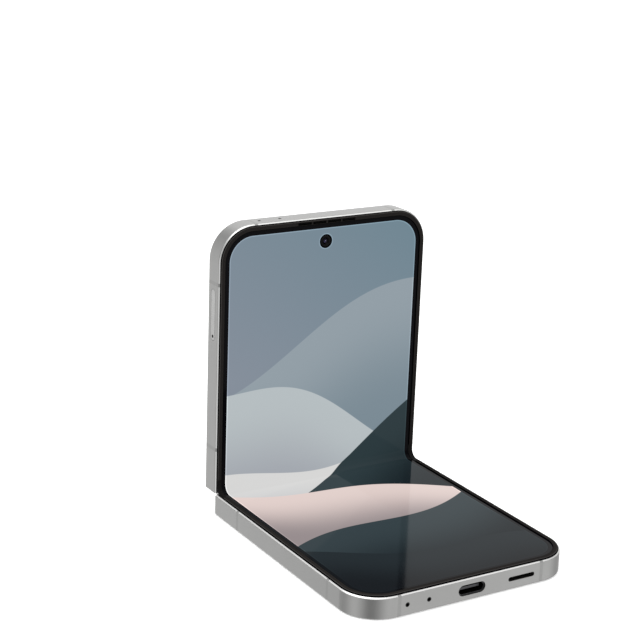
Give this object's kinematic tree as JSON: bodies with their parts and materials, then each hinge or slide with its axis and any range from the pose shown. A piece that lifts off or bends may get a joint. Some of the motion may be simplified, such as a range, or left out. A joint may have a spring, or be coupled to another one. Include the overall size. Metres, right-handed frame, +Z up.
{
  "type": "flip phone",
  "caption": "Folding clamshell phone with a bending inner display, a cover display, rear cameras, side keys, a card tray and a geared hinge that opens flat and folds shut.",
  "frame": {"origin": "centre of the back face of the lower half, which lies on a surface at Z = 0", "axes": "+X to the right across the phone as its user sees it, +Y from the lower half's free end towards the fold, +Z out of the lower half's display. The upper half stands up along +Z from the fold at rest, its display facing -Y."},
  "size_m": [0.0723, 0.0905, 0.0892],
  "materials": {
    "frame_metal": "satin anodised",
    "antenna_break": "matte",
    "black_rim": "satin black",
    "rear_glass": "frosted silver back, opaque",
    "cover_glass": "gloss black, opaque backing",
    "display": "gloss display glass, opaque panel below",
    "lens_glass": "coated",
    "flash": "frosted diffuser over a phosphor",
    "ring_metal": "polished",
    "steel": "plain",
    "battery": "foil pouch",
    "board": "solder mask",
    "module": "matte black",
    "copper": "wound wire",
    "flex": "polyimide",
    "key_metal": "satin anodised",
    "mesh": "fine black mesh"
  },
  "bodies": {
    "lower_half": {"lower_frame": "frame_metal", "lower_antenna_breaks": "antenna_break", "lower_trim": "black_rim", "lower_rear_glass": "rear_glass", "main_display_lower": "display", "lower_battery": "battery", "sub_board": "board", "usb_port": "steel", "loudspeaker": "module", "speaker_mesh": "mesh", "haptic_motor": "module", "lower_microphones": "module", "charging_coil": "copper", "lower_hinge_arms": "steel", "lower_wing_plate": "steel", "lower_hinge_fasteners": "steel", "lower_flex": "flex"},
    "hinge_spine": {"hinge_cover": "key_metal", "hinge_end_caps": "key_metal", "hinge_brackets": "steel", "hinge_shafts": "steel", "torque_cams": "steel", "torque_springs": "steel", "main_display_fold": "display", "fold_edge_strips": "black_rim", "fold_flex": "flex"},
    "upper_half": {"camera_glasses": "lens_glass", "camera_rings": "ring_metal", "cover_display": "display", "cover_glass": "cover_glass", "earpiece": "module", "earpiece_mesh": "mesh", "flash_led": "flash", "flash_lens": "flash", "key_switches": "steel", "main_board": "board", "main_display_upper": "display", "selfie_camera": "module", "shield_cans": "steel", "sim_reader": "steel", "ultrawide_camera": "module", "upper_antenna_breaks": "antenna_break", "upper_battery": "battery", "upper_flex": "flex", "upper_frame": "frame_metal", "upper_hinge_arms": "steel", "upper_hinge_fasteners": "steel", "upper_microphones": "module", "upper_trim": "black_rim", "upper_wing_plate": "steel", "wide_camera": "module"},
    "lower_sync_arms": {"lower_sync_arms": "steel"},
    "upper_sync_arms": {"upper_sync_arms": "steel"},
    "lower_idlers": {"lower_idlers": "steel"},
    "upper_idlers": {"upper_idlers": "steel"},
    "lens_barrel": {"wide_lens_barrel": "module"},
    "volume_key": {"volume_key": "key_metal"},
    "side_key": {"side_key": "key_metal"},
    "sim_tray": {"sim_tray": "key_metal"}
  },
  "joints": [
    {"name": "lower_fold", "type": "hinge", "parent": "lower_half", "child": "hinge_spine", "pos_m": [0, 0.03995, 0.00605], "axis": [1, 0, 0], "range_deg": [-45, 45], "deforming": ["main_display_fold", "fold_edge_strips", "fold_flex"]},
    {"name": "upper_fold", "type": "hinge", "parent": "hinge_spine", "child": "upper_half", "pos_m": [0, 0.04193, 0.00803], "axis": [1, 0, 0], "range_deg": [-45, 45]},
    {"name": "lower_sync_turn", "type": "hinge", "parent": "hinge_spine", "child": "lower_sync_arms", "pos_m": [0, 0.04033, 0.00398], "axis": [1, 0, 0], "range_deg": [-45, 45]},
    {"name": "upper_sync_turn", "type": "hinge", "parent": "hinge_spine", "child": "upper_sync_arms", "pos_m": [0, 0.044, 0.00765], "axis": [1, 0, 0], "range_deg": [-45, 45]},
    {"name": "lower_idler_turn", "type": "hinge", "parent": "hinge_spine", "child": "lower_idlers", "pos_m": [0, 0.04196, 0.00474], "axis": [1, 0, 0], "range_deg": [-45, 45]},
    {"name": "upper_idler_turn", "type": "hinge", "parent": "hinge_spine", "child": "upper_idlers", "pos_m": [0, 0.04324, 0.00602], "axis": [1, 0, 0], "range_deg": [-45, 45]},
    {"name": "autofocus", "type": "slide", "parent": "upper_half", "child": "lens_barrel", "axis": [0, 1, 0], "range_m": [0, 0.0003], "stiffness_N_per_m": 60},
    {"name": "volume_rock", "type": "hinge", "parent": "upper_half", "child": "volume_key", "pos_m": [0.0334, 0.04478, 0.05613], "axis": [0, 1, 0], "range_deg": [-1.2, 1.2], "stiffness_Nm_per_rad": 0.7},
    {"name": "side_key_press", "type": "slide", "parent": "upper_half", "child": "side_key", "axis": [-1, 0, 0], "range_m": [0, 0.00025], "stiffness_N_per_m": 2000},
    {"name": "sim_tray_slide", "type": "slide", "parent": "upper_half", "child": "sim_tray", "axis": [-1, 0, 0], "range_m": [0, 0.022]}
  ],
  "couplings": [
    {"joint": "upper_fold", "follows": "lower_fold", "ratio": 1},
    {"joint": "lower_sync_turn", "follows": "lower_fold", "ratio": -0.98052},
    {"joint": "upper_sync_turn", "follows": "lower_fold", "ratio": 0.98052},
    {"joint": "lower_idler_turn", "follows": "lower_fold", "ratio": 0.98052},
    {"joint": "upper_idler_turn", "follows": "lower_fold", "ratio": -0.98052}
  ]
}
